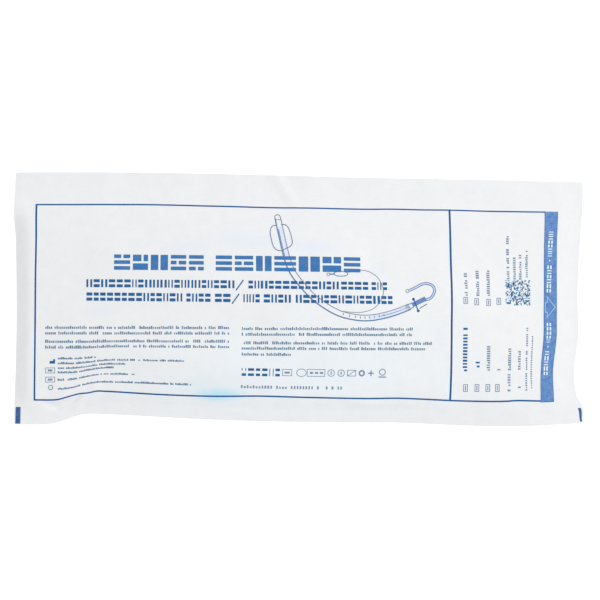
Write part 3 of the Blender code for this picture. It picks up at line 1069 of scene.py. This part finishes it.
def band_words(bm):
    """Rows of small reversed blocks along the band, turned to be read from the peel end."""
    rng = random.Random(17)
    for start, end in ((6.2, 25.4), (31.9, 49.6), (-52.1, -35.6), (-29.3, -15.5)):
        block_row(bm, rng, start, end, -176.9, -173.3, 2.4, 0.75, 1.1, (2,), 0.4)
    for vert in bm.verts:
        vert.co = (-vert.co.y + BAND_LEAN * vert.co.x, vert.co.x, 0.0)
    for v in (28.9, -32.3):
        rounded(bm, 174.6 + BAND_LEAN * v, v - 0.55, 175.7 + BAND_LEAN * v, v + 0.55, 0.5)


# Blocks in place of the headings

def headings(bm):
    rng = random.Random(4)
    for left, right in ((-133.7, -72.9), (-64.7, 35.3)):
        block_row(bm, rng, left, right, 19.5, 30.0, 11.9, 1.9, 1.5, (2, 3), 0.25, 0.35)
    tilt(bm, 0, -133.7, -0.0047)


def subheads(bm):
    rng = random.Random(5)
    for low, high, rise, words in (
            (7.6, 13.0, -0.0049, ((-152.3, -52.0), (-42.4, 19.9), (21.6, 40.6), (43.0, 53.9))),
            (-1.6, 4.0, -0.0075, ((-152.2, -87.4), (-84.6, -68.2), (-65.2, -54.6), (-45.8, -34.7),
                                  (-31.9, -13.3), (-9.9, 57.4)))):
        already = len(bm.verts)
        for left, right in words:
            block_row(bm, rng, left, right, low, high, 3.75, 1.0, 1.35, (2,), 0.38)
        tilt(bm, already, -152.3, rise)
    for foot, head in (((-50.9, 5.7), (-45.9, 12.8)), ((-53.6, -3.5), (-48.7, 3.4))):
        stroke(bm, [foot, head], 0.8)


# Drawing of the tube

TUBE_CENTRE = smooth_path([(-21.7, 56.6), (-20.5, 50.0), (-18.9, 42.0), (-17.4, 34.6), (-15.1, 25.6),
                           (-11.6, 17.7), (-4.3, 8.4), (4.4, -0.3), (18.2, -9.0), (31.0, -12.4),
                           (41.0, -12.8), (51.2, -11.1), (61.3, -8.1), (69.5, -4.8)], 6)
TUBE_HALF = 1.95
STYLET_HOOK = smooth_path([(80.2, -0.3), (84.3, 1.2), (86.6, 4.1), (87.3, 7.1), (85.9, 10.0),
                           (82.1, 11.4), (78.1, 10.7), (74.0, 8.5), (69.5, 6.4)], 5)


def tube_tint(bm):
    """Pale inside of the drawn tube at its cuff and towards its connector, and of its hook."""
    for part in (TUBE_CENTRE[6:24], TUBE_CENTRE[60:]):
        ribbon(bm, beside(part, TUBE_HALF), beside(part, -TUBE_HALF))
    stroke(bm, [(66.8, -5.8), (71.6, -3.6)], 3.0)
    stroke(bm, STYLET_HOOK, 1.8)


def tube_drawing(bm):
    """Plain outline of a cuffed tube with the pilot line of its cuff."""
    stroke(bm, beside(TUBE_CENTRE, TUBE_HALF), THIN_LINE)
    stroke(bm, arc(-21.9, 56.7, TUBE_HALF, 190, 10, 8), THIN_LINE)
    stroke(bm, [(-23.4, 54.9), (-19.7, 55.3)], HAIR_LINE)
    stroke(bm, smooth_path([(-22.4, 51.2), (-25.6, 50.6), (-27.2, 46.8), (-26.6, 41.8), (-25.1, 36.3),
                            (-22.6, 33.7), (-19.4, 33.3), (-16.4, 35.0), (-13.6, 36.3),
                            (-12.0, 38.8), (-12.4, 42.4), (-13.6, 47.1), (-15.2, 50.5),
                            (-17.4, 51.8), (-19.4, 51.6)], 3), 0.55)
    for start, end in list(zip(beside(TUBE_CENTRE, 1.1), beside(TUBE_CENTRE, -0.5)))[50:67:2]:
        stroke(bm, [start, end], THIN_LINE)
    stroke(bm, smooth_path([(26.7, 18.5), (31.0, 19.9), (36.0, 20.3), (42.0, 19.1), (47.9, 14.8),
                            (50.8, 8.8), (51.1, 3.8), (48.3, -2.1), (43.2, -6.7), (35.1, -9.0),
                            (26.0, -8.8), (21.2, -8.3)], 4), HAIR_LINE)
    ring(bm, 12.7, 17.2, 1.0, HAIR_LINE, 12)
    ring(bm, 68.2, 6.0, 1.1, HAIR_LINE, 12)
    stroke(bm, [(76.6, -6.0), (81.8, -2.9)], 0.6)


def tube_walls(bm):
    """Heavier wall of the tube with its stripe, and the line of the stylet inside."""
    stroke(bm, beside(TUBE_CENTRE, -TUBE_HALF), 0.85)
    stroke(bm, beside(TUBE_CENTRE[7:24], -1.15), 0.45)
    stroke(bm, beside(TUBE_CENTRE[64:], 0.1), HAIR_LINE)


def tube_fittings(bm):
    """Connector, balloon and stylet hook of the drawn tube."""
    stroke(bm, [(71.4, -3.8), (80.9, 0.9)], 3.2)
    stroke(bm, [(66.8, -4.2), (71.4, -2.1)], 0.6)
    stroke(bm, [(68.0, -7.2), (72.4, -5.2)], 0.6)
    for side in (0.65, -0.65):
        stroke(bm, beside(STYLET_HOOK, side), 0.65)
    ring(bm, 21.4, 17.6, 4.9, 0.6, 22, 0.34)
    stroke(bm, [(13.7, 17.2), (17.0, 17.5)], 1.0)


def tube_flange(bm):
    stroke(bm, [(72.2, 0.6), (75.6, -7.9)], 0.8)
    for u, v in ((72.3, 0.4), (75.5, -7.7)):
        ring(bm, u, v, 0.55, 0.9, 10)


# Signs, small boxes and the marks on the edges

def symbols(bm):
    """Row of plain signs, boxes and rings beside the fine print, none of them a real mark."""
    middle = -51.2
    box_line(bm, -18.6, middle - 2.2, -12.2, middle + 2.2, SIGN_LINE)
    dash(bm, -17.2, -13.6, middle, 1.35)
    ring(bm, -5.4, middle, 3.3, SIGN_LINE, 20, 0.8)
    box_line(bm, -1.4, middle - 2.4, 10.8, middle + 2.4, SIGN_LINE)
    for left in (0.4, 4.0, 7.4):
        dash(bm, left, left + 2.2, middle, 1.4)
    for at in (15.2, 22.2):
        ring(bm, at, middle, 2.3, THIN_LINE)
        post(bm, at, middle - 1.1, middle + 1.1, 0.8)
    box_line(bm, 26.6, middle - 2.0, 32.4, middle + 2.0, SIGN_LINE)
    stroke(bm, [(26.6, middle - 2.0), (32.4, middle + 2.0)], SIGN_LINE)
    ring(bm, 36.7, middle, 1.7, 1.1)
    dash(bm, 41.2, 45.2, middle, 0.8)
    post(bm, 43.2, middle - 1.9, middle + 1.9, 0.8)
    dash(bm, 48.6, 53.8, middle - 2.6, 0.8)
    ring(bm, 51.2, middle + 0.8, 2.1, 0.6)
    for v in (-49.0, -55.2):
        box_line(bm, -179.6, v - 1.7, -173.2, v + 1.7, SIGN_LINE)
        dash(bm, -178.0, -174.8, v, 1.4)
    ring(bm, -176.0, -60.6, 1.5, 0.6)


def bold_blocks(bm):
    """Bolder group of blocks that leads the row of signs, and the small block of the address."""
    block_row(bm, random.Random(8), -46.7, -20.4, -54.0, -48.5, 3.7, 1.3, 1.9, (2,), 0.3, 0.3)
    rounded(bm, -176.8, -44.4, -173.0, -42.6, 0.2)
    rounded(bm, -174.4, -42.7, -173.0, -41.4, 0.2)


def panel_boxes(bm):
    """Small boxes that head the rows of the panel."""
    for u, v in ((111.0, -60.6), (119.2, -60.5), (127.1, -60.4), (134.0, -60.4), (109.7, -0.2),
                 (117.8, -1.0), (126.8, -1.4), (134.5, -0.5)):
        box_line(bm, u - 1.4, v - 2.2, u + 1.4, v + 2.2, THIN_LINE)
        post(bm, u, v - 1.5, v + 1.5, 0.7)


def edge_marks(bm):
    rounded(bm, -200.3, -85.2, -196.9, -73.8)
    ribbon(bm, [(195.7, -75.2), (197.0, -85.0)], [(197.7, -75.2), (198.4, -84.6)])


printed("print_frame_lines", frame_lines, LINE_INK)
printed("print_end_band", band, BAND_INK, layer=3)
printed("print_band_edges", band_edges, BAND_EDGE_INK, layer=6)
printed("print_band_arrow", band_arrow, ARROW_WHITE, layer=10)
printed("print_headings", headings, HEADING_INK, layer=6)
printed("print_subheads", subheads, SUBHEAD_INK, layer=4)
printed("print_tube_tint", tube_tint, TUBE_TINT, layer=-1)
printed("print_tube_drawing", tube_drawing, DRAWING_INK, layer=5)
printed("print_tube_walls", tube_walls, WALL_INK, layer=2)
printed("print_tube_fittings", tube_fittings, FITTING_INK, layer=1)
printed("print_tube_flange", tube_flange, SUBHEAD_INK, layer=7)
printed("print_symbols", symbols, PANEL_INK)
printed("print_bold_blocks", bold_blocks, SUBHEAD_INK)
printed("print_panel_boxes", panel_boxes, PANEL_INK)
printed("print_edge_marks", edge_marks, MARK_INK)


# Rows of bars in place of the fine print: each row with its start, its end and how tall it is

def level(left, right, v, tall):
    return (left, v), (right, v), tall


def upright(u, start, end, tall):
    return (u, start), (u, end), tall


paragraphs = [level(-179.6, -56.0, v - 0.9, 2.1) for v in (-19.9, -23.7, -29.4, -33.3)]
paragraphs += [level(-46.4, end, v - 0.9, 2.1)
               for v, end in ((-20.5, 71.3), (-24.4, 70.6), (-30.4, 85.2), (-34.2, 80.6),
                              (-38.5, -13.7))]
printed_rows("print_paragraphs", paragraphs, TEXT_INK, 21, pitch=0.0013, bar_width=0.00088,
             width_spread=0.22, short_share=0.62, gap_share=0.11)

addresses = [level(-170.7, end, v - 0.6, 1.5)
             for v, end in ((-40.9, -146.0), (-44.2, -86.5), (-47.4, -125.0), (-50.4, -134.0),
                            (-55.4, -118.7), (-61.5, -81.5))]
printed_rows("print_addresses", addresses, TEXT_INK, 8, pitch=0.0011, bar_width=0.0009,
             short_share=0.6)

first_rows = [((111.8, -48.9), (111.6, -20.0), 3.2), upright(120.8, -48.9, -43.6, 3.0)]
printed_rows("print_panel_first_rows", first_rows, SUBHEAD_INK, 14, pitch=0.0021,
             bar_width=0.00125, gap_share=0.06)

panel = [upright(*row) for row in (
    (128.4, -48.6, -32.5, 2.4), (136.1, -48.4, -46.8, 2.4), (143.7, -62.0, -51.8, 2.2),
    (144.0, -48.2, -32.6, 2.2), (152.0, -61.6, -60.0, 2.2), (151.8, -47.9, -36.0, 2.2),
    (157.6, -61.8, -19.4, 1.5), (161.9, -60.4, -25.3, 1.2))]
panel += [upright(u, 3.6, end, 2.3) for u, end in ((111.3, 18.5), (120.0, 20.4), (128.0, 20.7))]
panel += [upright(u, 15.7, end, 2.0)
          for u, end in ((142.9, 45.4), (147.9, 31.8), (152.5, 32.2), (157.6, 35.2))]
printed_rows("print_panel_rows", panel, PANEL_INK, 14, pitch=0.0015, bar_width=0.0010,
             short_share=0.3)

printed_rows("print_code_line", [level(-46.4, 22.6, -62.7, 2.1)], PANEL_INK, 3, pitch=0.0020,
             bar_width=0.0011, gap_share=0.20)

DOT = 0.78
dots = [level(140.1, 159.3, -3.2 + DOT * k, DOT) for k in range(23)]
printed_rows("print_dot_field", dots, DOT_INK, 31, pitch=DOT * MM, bar_width=DOT * MM,
             width_spread=0.0, short_share=0.0, gap_share=0.50)

printed("print_band_words", band_words, REVERSED_WHITE, layer=10)


# Floor, light and camera

FLOOR_HALF = 9.0
FLOOR_DROP = 0.0002
AIR_STRENGTH = 0.655
PHOTO_LENS = 75.0
PHOTO_SENSOR = 36.0
CAMERA_OFF = (-0.09905, -0.0383)     # from the middle of the flat webs
CAMERA_HEIGHT = 0.8692
CAMERA_TURN = (2.501, -6.240, 0.055)


def floor():
    mesh = bpy.data.meshes.new("studio_floor")
    corners = ((-FLOOR_HALF, -FLOOR_HALF), (FLOOR_HALF, -FLOOR_HALF), (FLOOR_HALF, FLOOR_HALF),
               (-FLOOR_HALF, FLOOR_HALF))
    mesh.from_pydata([(x, y, -FLOOR_DROP) for x, y in corners], [], [(0, 1, 2, 3)])
    material = new_material("studio_white", Roughness=0.9, Base_Color=(0.93, 0.93, 0.93, 1.0),
                            Emission_Color=(1.0, 1.0, 1.0, 1.0), Emission_Strength=0.3)[0]
    mesh.materials.append(material)
    return new_object("studio_floor", mesh)


def area_light(name, place_at, size, power):
    data = bpy.data.lights.new(name, "AREA")
    data.shape = "SQUARE"
    data.size = size
    data.energy = power
    lamp = new_object(name, data)
    lamp.location = place_at
    lamp.rotation_euler = Vector(place_at).to_track_quat("Z", "Y").to_euler()


floor()
area_light("soft_key", (2.7, 0.95, 1.8), size=1.8, power=37.6)
area_light("soft_top", (0.0, 0.0, 2.2), size=1.6, power=17.0)
world = bpy.data.worlds.new("studio_air")
world.use_nodes = True
air = world.node_tree.nodes["Background"]
air.inputs["Color"].default_value = (1.0, 1.0, 1.0, 1.0)
air.inputs["Strength"].default_value = AIR_STRENGTH
bpy.context.scene.world = world
bpy.context.scene.view_settings.view_transform = "Standard"

camera = new_object("photo_camera", bpy.data.cameras.new("photo_camera"))
camera.data.lens = PHOTO_LENS
camera.data.sensor_width = PHOTO_SENSOR
camera.data.clip_start = 0.01
camera.location = (CAMERA_OFF[0] + FRAME_SHIFT[0], CAMERA_OFF[1] + FRAME_SHIFT[1], CAMERA_HEIGHT)
camera.rotation_euler = [math.radians(angle) for angle in CAMERA_TURN]
bpy.context.scene.camera = camera
